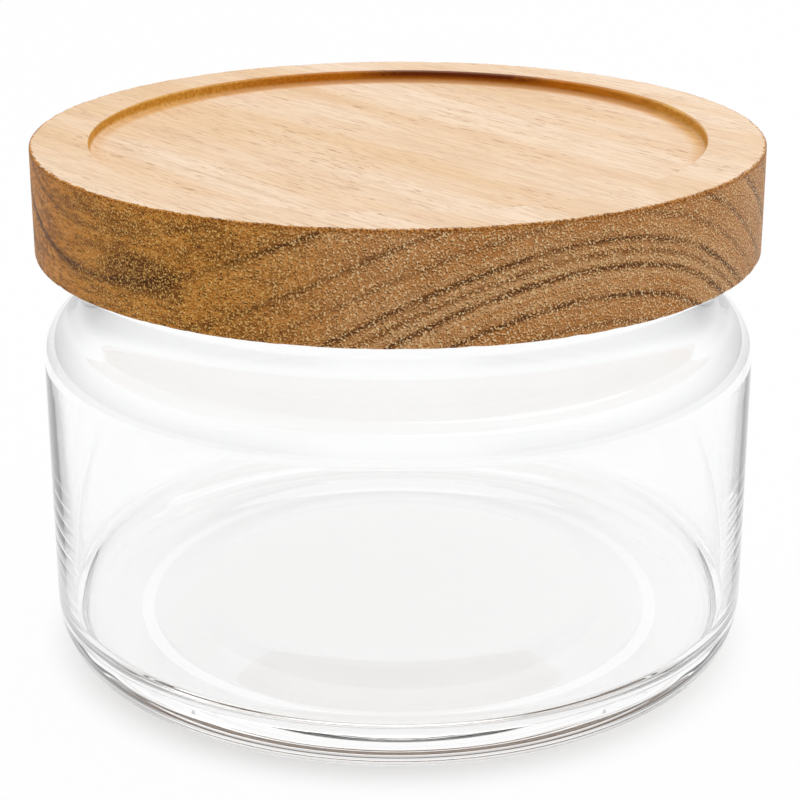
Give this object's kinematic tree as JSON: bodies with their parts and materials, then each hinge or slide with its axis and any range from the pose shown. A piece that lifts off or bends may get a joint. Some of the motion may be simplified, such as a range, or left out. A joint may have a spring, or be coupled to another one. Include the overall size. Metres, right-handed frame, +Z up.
{
  "type": "glass storage jar",
  "caption": "Round clear glass storage jar with a thick turned wooden lid that has a shallow round recess on top and a silicone seal ring.",
  "frame": {"origin": "centre of the foot ring, on the surface that the jar stands on", "axes": "+Z up, along the axis that the jar, the seal ring and the lid are turned about; +X to the right of the picture, +Y away from its camera"},
  "size_m": [0.127, 0.127, 0.0929],
  "materials": {
    "clear_glass": "clear, fire polished",
    "acacia_wood": "sanded and lightly oiled",
    "clear_silicone": "translucent, satin"
  },
  "bodies": {
    "jar": {"glass_jar": "clear_glass"},
    "seal": {"seal_ring": "clear_silicone"},
    "lid": {"wood_lid": "acacia_wood"}
  },
  "joints": [
    {"name": "lid_lift", "type": "slide", "parent": "jar", "child": "seal", "axis": [0, 0, 1], "range_m": [0, 0.06]},
    {"name": "lid_turn", "type": "hinge", "parent": "seal", "child": "lid", "pos_m": [0, 0, 0.0742], "axis": [0, 0, 1], "continuous": true}
  ]
}
